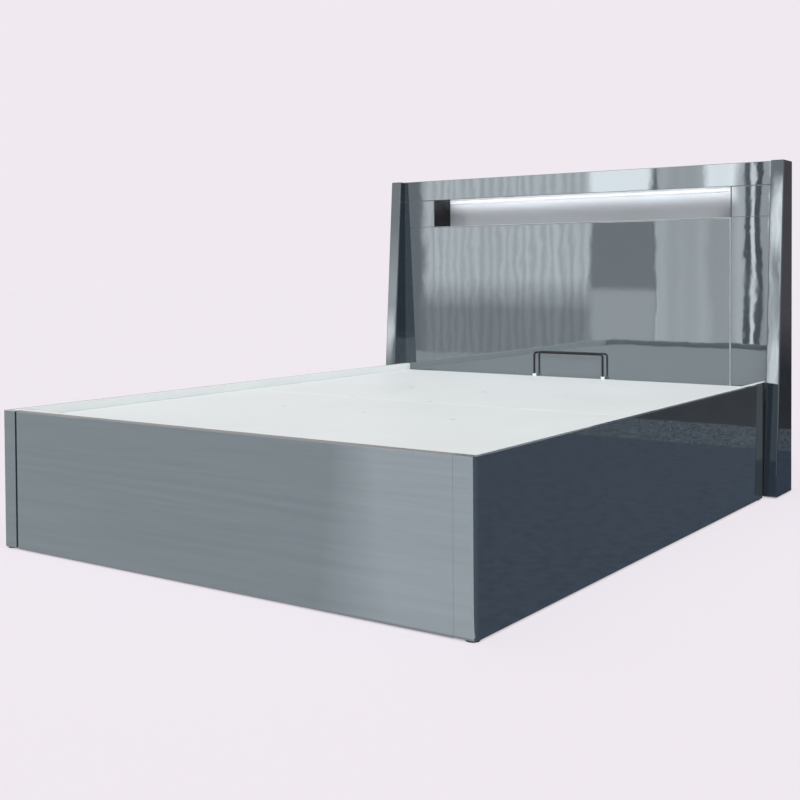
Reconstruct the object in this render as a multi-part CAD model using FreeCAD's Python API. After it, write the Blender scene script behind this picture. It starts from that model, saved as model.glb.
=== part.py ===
import FreeCAD, Part
import math
import os

V = FreeCAD.Vector

# Ottoman storage bed. Millimetres, +Z up, the foot towards -Y and the headboard towards +Y.
# The origin lies on the floor under the middle of the bed's box.

# Mattress space
mattress_w = 1524.0        # width of the mattress
mattress_l = 1981.0        # length of the mattress
side_play = 3.0            # deck edge to each carcass side
foot_play = 5.0            # deck edge to the carcass foot
head_play = 5.0            # deck edge to the headboard

# Boards of the box
carcass_t = 18.0           # white inner carcass
fascia_t = 12.0            # gloss side rail
foot_fascia_t = 25.0       # gloss foot panel
rail_h = 393.0             # height of rails and posts
foot_panel_clear = 4.0     # foot panel above the floor
edge_r = 2.0               # softened edges of the gloss boards
post_w = 56.0              # corner post across the foot
post_d = 60.0              # corner post along the side
post_edge_r = 12.0         # rounded outer edge of the post
post_groove = 8.0          # shadow groove between the left post and the foot panel
post_hairline = 0.4        # joint between the foot panel and the right post
post_joint = 0.8           # hairline between post and rail
rail_gap = 31.0            # shadow gap between rail and pillar, at the floor
strip_t = 2.0              # black strip in the grooves

# Glides under the bed
glide_h = 5.0
glide_r = 16.0
glide_inset = 4.0          # glide edge to the outer face of the box

# Storage floor
floor_t = 9.0
floor_play = 0.5           # floor board to the carcass
batten_t = 23.0
batten_w = 60.0
batten_count = 5

# Deck
deck_recess = 25.0         # deck surface below the rails
deck_t = 12.0
deck_front_l = 962.0       # board at the foot
deck_seam = 2.0            # joint between the two boards
deck_edge_r = 1.5
seat_gap = 0.3             # deck to the ledgers it rests on

# Lift frame under the deck
tube_h = 25.0
tube_w = 25.0
seam_tube_w = 60.0
tube_wall = 1.5
tube_inset = 34.0          # front tube to the deck's edge at the foot
rear_tube_inset = 3.0      # rear tube to the deck's edge at the head

# Deck bolts
bolt_head_r = 8.0
bolt_head_t = 1.6
bolt_recess = 1.8          # counterbore in the deck board
bolt_shank_r = 3.0
bolt_row_pitch = 351.0
bolt_column_pitch = 310.0
bolt_row_offset = 20.0     # middle row behind the seam
bolt_play = 0.2            # shank and head in their holes

# Ledgers
ledger_t = 18.0
ledger_h = 40.0
ledger_end_gap = 22.0      # ledger end to the base plate
head_ledger_w = 30.0
head_ledger_h = 30.0

# Mattress hoop
hoop_w = 294.0             # leg to leg
hoop_h = 95.0              # axis of the bar above the deck
hoop_r = 4.0
hoop_bend_r = 11.0
hoop_inset = 16.0          # hoop axis to the deck's edge at the head
socket_r = 7.5
socket_h = 11.0
socket_floor = 2.0         # floor of the socket under the leg

# Headboard
head_top = 1172.0          # above the floor
head_panel_t = 18.0
center_panel_t = 9.0
center_top_r = 5.0         # rounded upper edge of the middle panel
top_panel_h = 83.0
niche_h = 111.0
side_zone_w = 152.0        # gloss zone between pillar and niche
niche_depth = 123.0        # from the base panel's face
niche_lining_t = 3.0
niche_end_t = 4.0
head_board_t = 18.0        # ends, bottom, shelf, ceiling and cap
back_panel_t = 9.0
back_panel_inset = 1.5     # back panel inside the outline
pillar_w = 48.0
pillar_play = 1.0          # pillar to the strip on the carcass side
pillar_foot_d = 170.0      # pillar from front to back at the floor
pillar_top_d = 88.0        # and at its top
pillar_back_set = 59.0     # pillar's back behind the base panel's face
pillar_edge_r = 4.0

# Light strip in the niche's upper back corner
led_leg = 10.0
led_leg_t = 1.2
led_end_gap = 6.0

# Corner brackets of the carcass
bracket_leg = 40.0
bracket_t = 3.0
bracket_h = 120.0
bracket_lift = 50.0        # bracket above the storage floor
bracket_screw_z = 30.0     # screw to the bracket's end

# Pan-head screws
screw_head_r = 4.0
screw_head_t = 2.4
screw_shank_r = 1.8
screw_l = 14.0
back_screw_pitch = 370.0

# Bolts between carcass head and headboard
head_bolt_r = 4.0
head_bolt_head_r = 9.0
head_bolt_head_t = 5.0
head_bolt_nut_t = 7.0
head_bolt_columns = 4
head_bolt_edge = 135.0     # outer bolts to the carcass sides
head_bolt_margin = 50.0    # bolts above the floor and below the head ledger

# Lift linkage, one set on each side. Pivots lie at these distances from the headboard's face.
arm_base_y = 654.0
arm_deck_y = 247.0
guide_base_y = 375.0
guide_deck_y = 201.0
strut_base_y = 310.0
strut_deck_y = 185.0
# The two low pivots are measured up from the storage floor, the others down from the deck boards.
arm_base_rise = 63.0
strut_base_rise = 45.0
guide_base_drop = 73.0
arm_deck_drop = 94.0
guide_deck_drop = 35.0
strut_deck_drop = 78.0
plate_t = 4.0
plate_r = 26.0             # plate's edge outside the lines between its pivots
plate_web = 22.0           # and the window's edge inside them
arm_t = 6.0
arm_r = 20.0
guide_t = 5.0
guide_r = 17.0
deck_plate_t = 4.0
deck_plate_r = 17.0
deck_plate_flange = 21.0   # overlap of the deck bracket with the side tube
pin_r = 6.0
pin_head_r = 9.5
pin_head_t = 2.0
pin_play = 0.05            # running fit of arms on their pins
boss_r = 11.0
side_gap = 1.0             # between plates that pass each other
head_gap = 0.3             # pin head to the arm
open_play = 1.0            # extra room at the guide arm's deck end and the strut's rod end

# Gas strut
strut_pin_r = 5.0
strut_boss_r = 9.0
strut_eye_r = 10.0
strut_eye_w = 12.0
strut_tube_r = 11.0
strut_bore_r = 9.0
strut_rod_r = 5.0
strut_tube_start = 14.0    # tube's closed end from the lower pivot
strut_rod_show = 40.0      # gland's face to the upper pivot, deck closed
strut_gland_l = 14.0
strut_piston_l = 10.0
strut_piston_start = 40.0
strut_wall_end = 12.0      # closed end of the tube
strut_side_gap = 1.7       # tube to the deck bracket

# Levels from the floor up
rail_top = glide_h + rail_h
deck_top = rail_top - deck_recess
deck_under = deck_top - deck_t
frame_under = deck_under - tube_h
floor_under = glide_h + batten_t
floor_top = floor_under + floor_t
niche_top = head_top - top_panel_h
niche_floor = niche_top - niche_h

# Across the bed
inner_x = mattress_w / 2 + side_play
carcass_x = inner_x + carcass_t
box_x = carcass_x + fascia_t
deck_x = inner_x - side_play
pillar_in_x = carcass_x + strip_t + pillar_play
pillar_out_x = pillar_in_x + pillar_w
niche_x = pillar_in_x - side_zone_w

# Along the bed, from the foot's face to the headboard's back
clear_l = foot_play + mattress_l + head_play
overall_l = (foot_fascia_t + carcass_t + clear_l + center_panel_t + niche_depth + niche_lining_t
             + back_panel_t + screw_head_t)
foot_face = -overall_l / 2
carcass_front = foot_face + foot_fascia_t
foot_in = carcass_front + carcass_t
head_in = foot_in + clear_l
base_front = head_in + center_panel_t
base_back = base_front + head_panel_t
niche_back_y = base_front + niche_depth
cavity_back = niche_back_y + niche_lining_t
head_back = cavity_back + back_panel_t
pillar_back = base_front + pillar_back_set
pillar_foot_y = pillar_back - pillar_foot_d
pillar_top_y = pillar_back - pillar_top_d
rail_end = pillar_foot_y - rail_gap
deck_front_y = foot_in + foot_play
deck_rear_y = head_in - head_play
seam_y = deck_front_y + deck_front_l

# Planes of the linkage, from the carcass side inwards
plate_in = inner_x - plate_t
guide_out = plate_in - side_gap
guide_in = guide_out - guide_t
arm_out = guide_in - head_gap - pin_head_t - side_gap
arm_in = arm_out - arm_t
bracket_out = arm_in - side_gap
tube_out = bracket_out - deck_plate_t
tube_in = tube_out - tube_w
strut_x = tube_out - strut_side_gap - strut_tube_r

# Pivots as (y, z)
arm_base = (head_in - arm_base_y, floor_top + arm_base_rise)
arm_deck = (head_in - arm_deck_y, deck_under - arm_deck_drop)
guide_base = (head_in - guide_base_y, deck_under - guide_base_drop)
guide_deck = (head_in - guide_deck_y, deck_under - guide_deck_drop)
strut_base = (head_in - strut_base_y, floor_top + strut_base_rise)
strut_deck = (head_in - strut_deck_y, deck_under - strut_deck_drop)

nodes = {}


def block(x0, x1, y0, y1, z0, z1):
    return Part.makeBox(x1 - x0, y1 - y0, z1 - z0, V(x0, y0, z0))


def mirrored(shape):
    return shape.mirror(V(0, 0, 0), V(1, 0, 0))


def pair(name, right):
    nodes[name + "_right"] = [right]
    nodes[name + "_left"] = [mirrored(right)]


def both(solids):
    return solids + [mirrored(s) for s in solids]


def rounded(shape, radius, pick):
    edges = [e for e in shape.Edges if pick(e.CenterOfMass, e.tangentAt(e.FirstParameter))]
    return shape.makeFillet(radius, edges)


def along_x(radius, x0, x1, at):
    return Part.makeCylinder(radius, x1 - x0, V(x0, at[0], at[1]), V(1, 0, 0))


def along_y(radius, y0, y1, x, z):
    return Part.makeCylinder(radius, y1 - y0, V(x, y0, z), V(0, 1, 0))


def along_z(radius, z0, z1, x, y):
    return Part.makeCylinder(radius, z1 - z0, V(x, y, z0), V(0, 0, 1))


def joined(shapes):
    out = shapes[0]
    for s in shapes[1:]:
        out = out.fuse(s)
    return out.removeSplitter()


def cut(shape, tools):
    for t in tools:
        shape = shape.cut(t)
    return shape


def outline(points, radius, x0, x1):
    # plate whose edge runs at one distance round the given points
    if len(points) == 2:
        p = V(0, *points[0])
        q = V(0, *points[1])
        d = (q - p).normalize()
        n = V(0, -d.z, d.y) * radius
        wire = Part.Wire([
            Part.makeLine(p + n, q + n),
            Part.Arc(q + n, q + d * radius, q - n).toShape(),
            Part.makeLine(q - n, p - n),
            Part.Arc(p - n, p - d * radius, p + n).toShape()])
        face = Part.Face(wire)
    else:
        ring = [V(0, *p) for p in points]
        inner = Part.Face(Part.makePolygon(ring + ring[:1]))
        face = inner.makeOffset2D(radius)
    face.translate(V(x0, 0, 0))
    solid = face.extrude(V(x1 - x0, 0, 0))
    return solid


def tube_y(x0, x1, y0, y1):
    solid = block(x0, x1, y0, y1, frame_under, deck_under)
    bore = block(x0 + tube_wall, x1 - tube_wall, y0, y1, frame_under + tube_wall, deck_under - tube_wall)
    return solid.cut(bore)


def tube_x(x0, x1, y0, y1):
    solid = block(x0, x1, y0, y1, frame_under, deck_under)
    bore = block(x0, x1, y0 + tube_wall, y1 - tube_wall, frame_under + tube_wall, deck_under - tube_wall)
    return solid.cut(bore)


# Foot panel and corner posts
post_x = box_x - post_w
panel_left = post_groove - post_x
panel_right = post_x - post_hairline
foot_panel = block(panel_left, panel_right, foot_face, carcass_front, foot_panel_clear, rail_top)
nodes["foot_panel"] = [rounded(
    foot_panel, edge_r, lambda c, t: abs(t.x) > 0.9 and c.y < foot_face + 0.1 and c.z > rail_top - 0.1)]
post_end = foot_face + post_d
post_wire = Part.makePolygon([
    V(post_x, foot_face, glide_h), V(box_x, foot_face, glide_h), V(box_x, post_end, glide_h),
    V(carcass_x, post_end, glide_h), V(carcass_x, carcass_front, glide_h),
    V(post_x, carcass_front, glide_h), V(post_x, foot_face, glide_h)])
post = Part.Face(post_wire).extrude(V(0, 0, rail_h))
post_round = min(post_edge_r, fascia_t, foot_fascia_t)
post = rounded(post, post_round, lambda c, t: abs(t.z) > 0.9 and c.x > box_x - 0.1 and c.y < foot_face + 0.1)
pair("foot_post", post)

# Side rails
rail = block(carcass_x, box_x, post_end + post_joint, rail_end, glide_h, rail_top)
rail = rounded(rail, edge_r, lambda c, t: abs(t.y) > 0.9 and c.x > box_x - 0.1 and c.z > rail_top - 0.1)
pair("side_rail", rail)

# White carcass
pair("carcass_side", block(inner_x, carcass_x, carcass_front, base_front, glide_h, rail_top))
nodes["carcass_foot"] = [block(-inner_x, inner_x, carcass_front, foot_in, glide_h, rail_top)]
carcass_head = block(-inner_x, inner_x, head_in, base_front, glide_h, frame_under)

# Black strips at the bottom of the shadow grooves
pillar_rail_y = pillar_foot_y + (pillar_top_y - pillar_foot_y) * rail_top / head_top
groove_strip = block(-post_x, panel_left, carcass_front - strip_t, carcass_front, glide_h, rail_top)
gap_strip = block(carcass_x, carcass_x + strip_t, rail_end, pillar_rail_y, glide_h, rail_top)
nodes["shadow_strips"] = [groove_strip] + both([gap_strip])

# Storage floor on its battens
floor_x = inner_x - floor_play
nodes["floor_board_front"] = [block(
    -floor_x, floor_x, foot_in + floor_play, seam_y, floor_under, floor_top)]
nodes["floor_board_rear"] = [block(
    -floor_x, floor_x, seam_y + floor_play, head_in - floor_play, floor_under, floor_top)]
batten_step = (clear_l - batten_w) / (batten_count - 1)
battens = []
for i in range(batten_count):
    y = foot_in + i * batten_step
    battens.append(block(-inner_x, inner_x, y, y + batten_w, glide_h, floor_under))
nodes["floor_battens"] = battens

# Glides under posts, rails, pillars and battens
glide_x = box_x - glide_inset - glide_r
glides = both([
    along_z(glide_r, 0, glide_h, glide_x, foot_face + glide_inset + glide_r),
    along_z(glide_r, 0, glide_h, glide_x, rail_end - glide_inset - glide_r),
    along_z(glide_r, 0, glide_h, (pillar_in_x + pillar_out_x) / 2, (pillar_foot_y + pillar_back) / 2)])
for i in range(batten_count):
    glides.append(along_z(glide_r, 0, glide_h, 0, foot_in + i * batten_step + batten_w / 2))
nodes["glides"] = glides

# Ledgers: sides and foot carry the deck boards, the head carries the frame's rear tube
ledger_top = deck_under - seat_gap
ledger_end = arm_base[0] - plate_r - ledger_end_gap
side_ledger = block(inner_x - ledger_t, inner_x, foot_in, ledger_end, ledger_top - ledger_h, ledger_top)
foot_ledger = block(
    ledger_t - inner_x, inner_x - ledger_t, foot_in, foot_in + ledger_t, ledger_top - ledger_h, ledger_top)
head_ledger_top = frame_under - seat_gap
head_ledger_low = head_ledger_top - head_ledger_h
head_ledger = block(-inner_x, inner_x, head_in - head_ledger_w, head_in, head_ledger_low, head_ledger_top)
nodes["deck_ledgers"] = both([side_ledger]) + [foot_ledger, head_ledger]

# Corner brackets inside the box, at the foot and at the head
screws = []


def screw_x(x, y, z, side):
    # screw whose head lies on a face that looks towards the middle of the bed
    head = along_x(screw_head_r, x - screw_head_t, x, (y, z))
    shank = along_x(screw_shank_r, x, x + screw_l, (y, z))
    solid = joined([head, shank])
    screws.append(solid if side > 0 else mirrored(solid))


def screw_y(x, y, z, way):
    head = along_y(screw_head_r, min(y, y - way * screw_head_t), max(y, y - way * screw_head_t), x, z)
    shank = along_y(screw_shank_r, min(y, y + way * screw_l), max(y, y + way * screw_l), x, z)
    screws.append(joined([head, shank]))


brackets = []
bracket_z = floor_top + bracket_lift
for way, wall in ((-1, foot_in), (1, head_in)):
    lo = wall if way < 0 else wall - bracket_leg
    leg_a = block(inner_x - bracket_t, inner_x, lo, lo + bracket_leg, bracket_z, bracket_z + bracket_h)
    flat = wall if way < 0 else wall - bracket_t
    leg_b = block(inner_x - bracket_leg, inner_x, flat, flat + bracket_t, bracket_z, bracket_z + bracket_h)
    brackets += both([joined([leg_a, leg_b])])
    for z in (bracket_z + bracket_screw_z, bracket_z + bracket_h - bracket_screw_z):
        for side in (-1, 1):
            screw_x(inner_x - bracket_t, wall - way * bracket_leg / 2, z, side)
            screw_y(side * (inner_x - bracket_leg / 2), wall - way * bracket_t, z, way)

# Headboard panels
base_panel = block(-pillar_in_x, pillar_in_x, base_front, base_back, glide_h, niche_floor)
center_panel = block(-niche_x, niche_x, head_in, base_front, frame_under, niche_floor)
center_panel = rounded(center_panel, center_top_r, lambda c, t: c.y < head_in + 0.1 and c.z > niche_floor - 0.1)
center_panel = rounded(center_panel, edge_r, lambda c, t: c.y < head_in + 0.1 and abs(t.z) > 0.9)
nodes["head_center_panel"] = [center_panel]
top_panel = block(-pillar_in_x, pillar_in_x, base_front, base_back, niche_top, head_top)
nodes["head_top_panel"] = [rounded(top_panel, edge_r, lambda c, t: abs(t.x) > 0.9 and c.y < base_front + 0.1)]
block_in_x = niche_x + niche_end_t
side_block = block(block_in_x, pillar_in_x, base_front, base_back, niche_floor, niche_top)
pair("head_side_block", rounded(side_block, edge_r, lambda c, t: abs(t.x) > 0.9 and c.y < base_front + 0.1))

# Pillars with a slanted front
glide_share = glide_h / head_top
pillar_low_y = pillar_foot_y + (pillar_top_y - pillar_foot_y) * glide_share
pillar_wire = Part.makePolygon([
    V(pillar_in_x, pillar_low_y, glide_h), V(pillar_in_x, pillar_top_y, head_top),
    V(pillar_in_x, pillar_back, head_top), V(pillar_in_x, pillar_back, glide_h),
    V(pillar_in_x, pillar_low_y, glide_h)])
pillar = Part.Face(pillar_wire).extrude(V(pillar_w, 0, 0))
pillar = rounded(
    pillar, pillar_edge_r,
    lambda c, t: c.y < pillar_back - 0.1 and (abs(t.z) > 0.5 or c.z > head_top - 0.1))
pair("pillar", pillar)

# Cabinet behind the panels
end_in_x = pillar_in_x - head_board_t
pair("head_end", block(end_in_x, pillar_in_x, base_back, cavity_back, glide_h, head_top))
nodes["head_bottom"] = [block(-end_in_x, end_in_x, base_back, cavity_back, glide_h, glide_h + head_board_t)]
nodes["niche_shelf"] = [block(
    -end_in_x, end_in_x, base_back, cavity_back, niche_floor - head_board_t, niche_floor)]
nodes["niche_ceiling"] = [block(
    -end_in_x, end_in_x, base_back, cavity_back, niche_top, niche_top + head_board_t)]
nodes["head_cap"] = [block(-end_in_x, end_in_x, base_back, cavity_back, head_top - head_board_t, head_top)]
pair("niche_end", block(niche_x, block_in_x, base_front, niche_back_y, niche_floor, niche_top))
nodes["niche_back"] = [block(-block_in_x, block_in_x, niche_back_y, cavity_back, niche_floor, niche_top)]
back_x = pillar_in_x - back_panel_inset
back_low = glide_h + back_panel_inset
back_high = head_top - back_panel_inset
back_panel = block(-back_x, back_x, cavity_back, head_back, back_low, back_high)

# Screws along the back panel, into the ends, bottom, shelf and cap of the cabinet
half_board = head_board_t / 2
screw_end_x = pillar_in_x - half_board
screw_low_z = glide_h + half_board
screw_high_z = head_top - half_board
steps_z = max(2, round((screw_high_z - screw_low_z) / back_screw_pitch))
steps_x = max(2, round(2 * screw_end_x / back_screw_pitch))
for i in range(steps_z + 1):
    for side in (-1, 1):
        screw_y(side * screw_end_x, head_back, screw_low_z + i * (screw_high_z - screw_low_z) / steps_z, -1)
for i in range(1, steps_x):
    for z in (screw_low_z, niche_floor - half_board, screw_high_z):
        screw_y(screw_end_x * (2 * i / steps_x - 1), head_back, z, -1)

# Light strip: corner profile with a quarter-round cover
led_x = niche_x - led_end_gap
leg_top = block(-led_x, led_x, niche_back_y - led_leg, niche_back_y, niche_top - led_leg_t, niche_top)
leg_rear = block(-led_x, led_x, niche_back_y - led_leg_t, niche_back_y, niche_top - led_leg, niche_top)
nodes["led_profile"] = [joined([leg_top, leg_rear])]
cover_r = led_leg - led_leg_t
cover_back = niche_back_y - led_leg_t
cover_top = niche_top - led_leg_t
corner = block(-led_x, led_x, cover_back - cover_r, cover_back, cover_top - cover_r, cover_top)
cover = along_x(cover_r, -led_x, led_x, (cover_back, cover_top))
nodes["led_diffuser"] = [cover.common(corner)]

# Bolts that hold the carcass head to the headboard
bolts = []
bolt_holes = []
bolt_span = 2 * (inner_x - head_bolt_edge)
for i in range(head_bolt_columns):
    for z in (floor_top + head_bolt_margin, head_ledger_low - head_bolt_margin):
        x = bolt_span * (i / (head_bolt_columns - 1) - 0.5)
        head = along_y(head_bolt_head_r, head_in - head_bolt_head_t, head_in, x, z)
        shank = along_y(head_bolt_r, head_in, base_back, x, z)
        nut = along_y(head_bolt_head_r, base_back, base_back + head_bolt_nut_t, x, z)
        bolts.append(joined([head, shank, nut]))
        bolt_holes.append(along_y(head_bolt_r, head_in, base_back, x, z))
nodes["head_bolts"] = bolts

# Base plates of the linkage
corners = [arm_base, strut_base, guide_base]
plate = outline(corners, plate_r, plate_in, inner_x)
plate = plate.cut(outline(corners, -plate_web, plate_in, inner_x))
for i in range(3):
    y = (corners[i][0] + corners[i - 1][0]) / 2
    z = (corners[i][1] + corners[i - 1][1]) / 2
    for side in (-1, 1):
        screw_x(plate_in, y, z, side)

# Pins on the base plates: lift arm, guide arm and strut
arm_pin = joined([
    along_x(boss_r, arm_out + head_gap, plate_in, arm_base),
    along_x(pin_r, arm_in - head_gap, arm_out + head_gap, arm_base),
    along_x(pin_head_r, arm_in - head_gap - pin_head_t, arm_in - head_gap, arm_base)])
guide_pin = joined([
    along_x(pin_r, guide_in - head_gap, plate_in, guide_base),
    along_x(pin_head_r, guide_in - head_gap - pin_head_t, guide_in - head_gap, guide_base)])
eye_out = strut_x + strut_eye_w / 2
eye_in = strut_x - strut_eye_w / 2
strut_pin = joined([
    along_x(strut_boss_r, eye_out + head_gap, plate_in, strut_base),
    along_x(strut_pin_r, eye_in - head_gap, eye_out + head_gap, strut_base),
    along_x(strut_boss_r, eye_in - head_gap - pin_head_t, eye_in - head_gap, strut_base)])
nodes["base_pins"] = both([arm_pin, guide_pin, strut_pin])

# Lift arms and guide arms
lift_arm = outline([arm_base, arm_deck], arm_r, arm_in, arm_out)
lift_arm = cut(lift_arm, [along_x(pin_r + pin_play, arm_in, arm_out, p) for p in (arm_base, arm_deck)])
pair("lift_arm", lift_arm)
guide_arm = outline([guide_base, guide_deck], guide_r, guide_in, guide_out)
guide_arm = guide_arm.cut(along_x(pin_r + pin_play, guide_in, guide_out, guide_base))
guide_arm = guide_arm.cut(along_x(pin_r + open_play, guide_in, guide_out, guide_deck))
pair("guide_arm", guide_arm)

# Deck brackets on the frame's side tubes
flange_low = deck_under - deck_plate_flange
foot_side = min(arm_deck[0], guide_deck[0], strut_deck[0])
head_side = max(arm_deck[0], guide_deck[0], strut_deck[0])
hanging = outline([arm_deck, strut_deck, (head_side, flange_low), (foot_side, flange_low)],
                  deck_plate_r, tube_out, bracket_out)
hanging = hanging.common(block(
    tube_out, bracket_out, foot_side - 2 * deck_plate_r, head_side + 2 * deck_plate_r, 0, deck_under))
pair("deck_bracket", hanging)

# Pins on the deck brackets
arm_deck_pin = joined([
    along_x(pin_r, bracket_out, arm_out + head_gap, arm_deck),
    along_x(pin_head_r, arm_out + head_gap, arm_out + head_gap + pin_head_t, arm_deck)])
guide_deck_pin = joined([
    along_x(boss_r, bracket_out, guide_in - head_gap, guide_deck),
    along_x(pin_r, guide_in - head_gap, guide_out + head_gap, guide_deck),
    along_x(pin_head_r, guide_out + head_gap, guide_out + head_gap + pin_head_t, guide_deck)])
strut_deck_pin = joined([
    along_x(strut_boss_r, eye_out + head_gap, tube_out, strut_deck),
    along_x(strut_pin_r, eye_in - head_gap, eye_out + head_gap, strut_deck),
    along_x(strut_boss_r, eye_in - head_gap - pin_head_t, eye_in - head_gap, strut_deck)])
nodes["deck_pins"] = both([arm_deck_pin, guide_deck_pin, strut_deck_pin])

# Gas struts, each a tube with a gland and a rod with a piston
strut_foot = V(strut_x, *strut_base)
strut_head = V(strut_x, *strut_deck)
strut_l = (strut_head - strut_foot).Length
strut_dir = (strut_head - strut_foot).normalize()
strut_tube_end = strut_l - strut_rod_show


def on_strut(radius, start, end):
    return Part.makeCylinder(radius, end - start, strut_foot + strut_dir * start, strut_dir)


tube = joined([
    along_x(strut_eye_r, eye_in, eye_out, strut_base),
    on_strut(strut_rod_r, 0, strut_tube_start),
    on_strut(strut_tube_r, strut_tube_start, strut_tube_end)])
bore_start = strut_tube_start + strut_wall_end
bore_end = strut_tube_end - strut_gland_l
tube = cut(tube, [
    along_x(strut_pin_r + pin_play, eye_in, eye_out, strut_base),
    on_strut(strut_bore_r, bore_start, bore_end),
    on_strut(strut_rod_r + pin_play, bore_end, strut_tube_end)])
pair("strut_cylinder", tube)
rod = joined([
    along_x(strut_eye_r, eye_in, eye_out, strut_deck),
    on_strut(strut_rod_r, strut_piston_start, strut_l),
    on_strut(strut_bore_r - pin_play, strut_piston_start, strut_piston_start + strut_piston_l)])
rod = rod.cut(along_x(strut_pin_r + open_play, eye_in, eye_out, strut_deck))
pair("strut_rod", rod)

# Deck boards
deck_front = block(-deck_x, deck_x, deck_front_y, seam_y, deck_under, deck_top)
deck_rear = block(-deck_x, deck_x, seam_y + deck_seam, deck_rear_y, deck_under, deck_top)
deck_front = rounded(deck_front, deck_edge_r, lambda c, t: c.z > deck_top - 0.1)
deck_rear = rounded(deck_rear, deck_edge_r, lambda c, t: c.z > deck_top - 0.1)

# Lift frame
frame_front = deck_front_y + tube_inset
frame_rear = deck_rear_y - rear_tube_inset
nodes["deck_frame_sides"] = both([tube_y(tube_in, tube_out, frame_front, frame_rear)])
row_mid = seam_y + deck_seam + bolt_row_offset
rows = (row_mid - bolt_row_pitch, row_mid, row_mid + bolt_row_pitch)
seam_tube_y = seam_y + deck_seam / 2 - seam_tube_w / 2
cross = [
    tube_x(-tube_in, tube_in, frame_front, frame_front + tube_w),
    tube_x(-tube_in, tube_in, rows[0] - tube_w / 2, rows[0] + tube_w / 2),
    tube_x(-tube_in, tube_in, seam_tube_y, seam_tube_y + seam_tube_w),
    tube_x(-tube_in, tube_in, rows[2] - tube_w / 2, rows[2] + tube_w / 2),
    tube_x(-tube_in, tube_in, frame_rear - tube_w, frame_rear)]

# Bolts through the deck boards into the cross tubes
bolt_seat = deck_top - bolt_recess
deck_bolts = []
deck_holes = []
tube_holes = []
for y in rows:
    for i in (-1, 0, 1):
        x = i * bolt_column_pitch
        deck_bolts.append(joined([
            along_z(bolt_head_r, bolt_seat, bolt_seat + bolt_head_t, x, y),
            along_z(bolt_shank_r, deck_under - tube_wall, bolt_seat, x, y)]))
        deck_holes.append(joined([
            along_z(bolt_head_r + bolt_play, bolt_seat, deck_top, x, y),
            along_z(bolt_shank_r + bolt_play, deck_under, bolt_seat, x, y)]))
        tube_holes.append(along_z(bolt_shank_r + bolt_play, deck_under - tube_wall, deck_under, x, y))
nodes["deck_bolts"] = deck_bolts
for i, y in ((1, rows[0]), (2, rows[1]), (3, rows[2])):
    near = [h for h in tube_holes if abs(h.BoundBox.Center.y - y) < 1]
    cross[i] = cut(cross[i], near)
nodes["deck_frame_cross"] = cross
nodes["deck_board_front"] = [cut(deck_front, [h for h in deck_holes if h.BoundBox.Center.y < seam_y])]
nodes["deck_board_rear"] = [cut(deck_rear, [h for h in deck_holes if h.BoundBox.Center.y > seam_y])]

# Mattress hoop in its sockets
hoop_y = deck_rear_y - hoop_inset
leg_x = hoop_w / 2
hoop_low = deck_top + socket_floor
hoop_high = deck_top + hoop_h
b = hoop_bend_r
s = hoop_bend_r * (1 - math.sqrt(0.5))
path = Part.Wire([
    Part.makeLine(V(-leg_x, hoop_y, hoop_low), V(-leg_x, hoop_y, hoop_high - b)),
    Part.Arc(V(-leg_x, hoop_y, hoop_high - b), V(-leg_x + s, hoop_y, hoop_high - s),
             V(-leg_x + b, hoop_y, hoop_high)).toShape(),
    Part.makeLine(V(-leg_x + b, hoop_y, hoop_high), V(leg_x - b, hoop_y, hoop_high)),
    Part.Arc(V(leg_x - b, hoop_y, hoop_high), V(leg_x - s, hoop_y, hoop_high - s),
             V(leg_x, hoop_y, hoop_high - b)).toShape(),
    Part.makeLine(V(leg_x, hoop_y, hoop_high - b), V(leg_x, hoop_y, hoop_low))])
section = Part.Wire([Part.makeCircle(hoop_r, V(-leg_x, hoop_y, hoop_low), V(0, 0, 1))])
nodes["mattress_hoop"] = [path.makePipeShell([section], True, False)]
socket = along_z(socket_r, deck_top, deck_top + socket_h, leg_x, hoop_y)
socket = socket.cut(along_z(hoop_r, hoop_low, deck_top + socket_h, leg_x, hoop_y))
nodes["hoop_sockets"] = both([socket])

# Screw holes in what the screws go through


def drilled(shape):
    return cut(shape, [s for s in screws if shape.BoundBox.intersect(s.BoundBox)])


nodes["corner_brackets"] = [drilled(s) for s in brackets]
for name in ("carcass_side_left", "carcass_side_right", "carcass_foot", "head_end_left", "head_end_right",
             "head_bottom", "niche_shelf", "niche_ceiling", "head_cap"):
    nodes[name] = [drilled(s) for s in nodes[name]]
nodes["carcass_head"] = [drilled(cut(carcass_head, bolt_holes))]
nodes["head_base_panel"] = [cut(drilled(base_panel), bolt_holes)]
nodes["head_back_panel"] = [drilled(back_panel)]
nodes["base_plate_right"] = [drilled(plate)]
nodes["base_plate_left"] = [drilled(mirrored(plate))]
nodes["screws"] = screws

os.makedirs("parts", exist_ok=True)
for name in sorted(nodes):
    solids = []
    for shape in nodes[name]:
        solids += shape.Solids
    for solid in solids:
        if not solid.isValid():
            raise ValueError(name + " has a solid that is not valid")
    whole = solids[0] if len(solids) == 1 else Part.makeCompound(solids)
    whole.exportStep("parts/" + name + ".step")
print(len(nodes), "nodes")
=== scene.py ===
import math

import bmesh
import bpy
from bpy.props import FloatProperty, FloatVectorProperty, IntProperty, PointerProperty
from mathutils import Matrix, Vector


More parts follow.
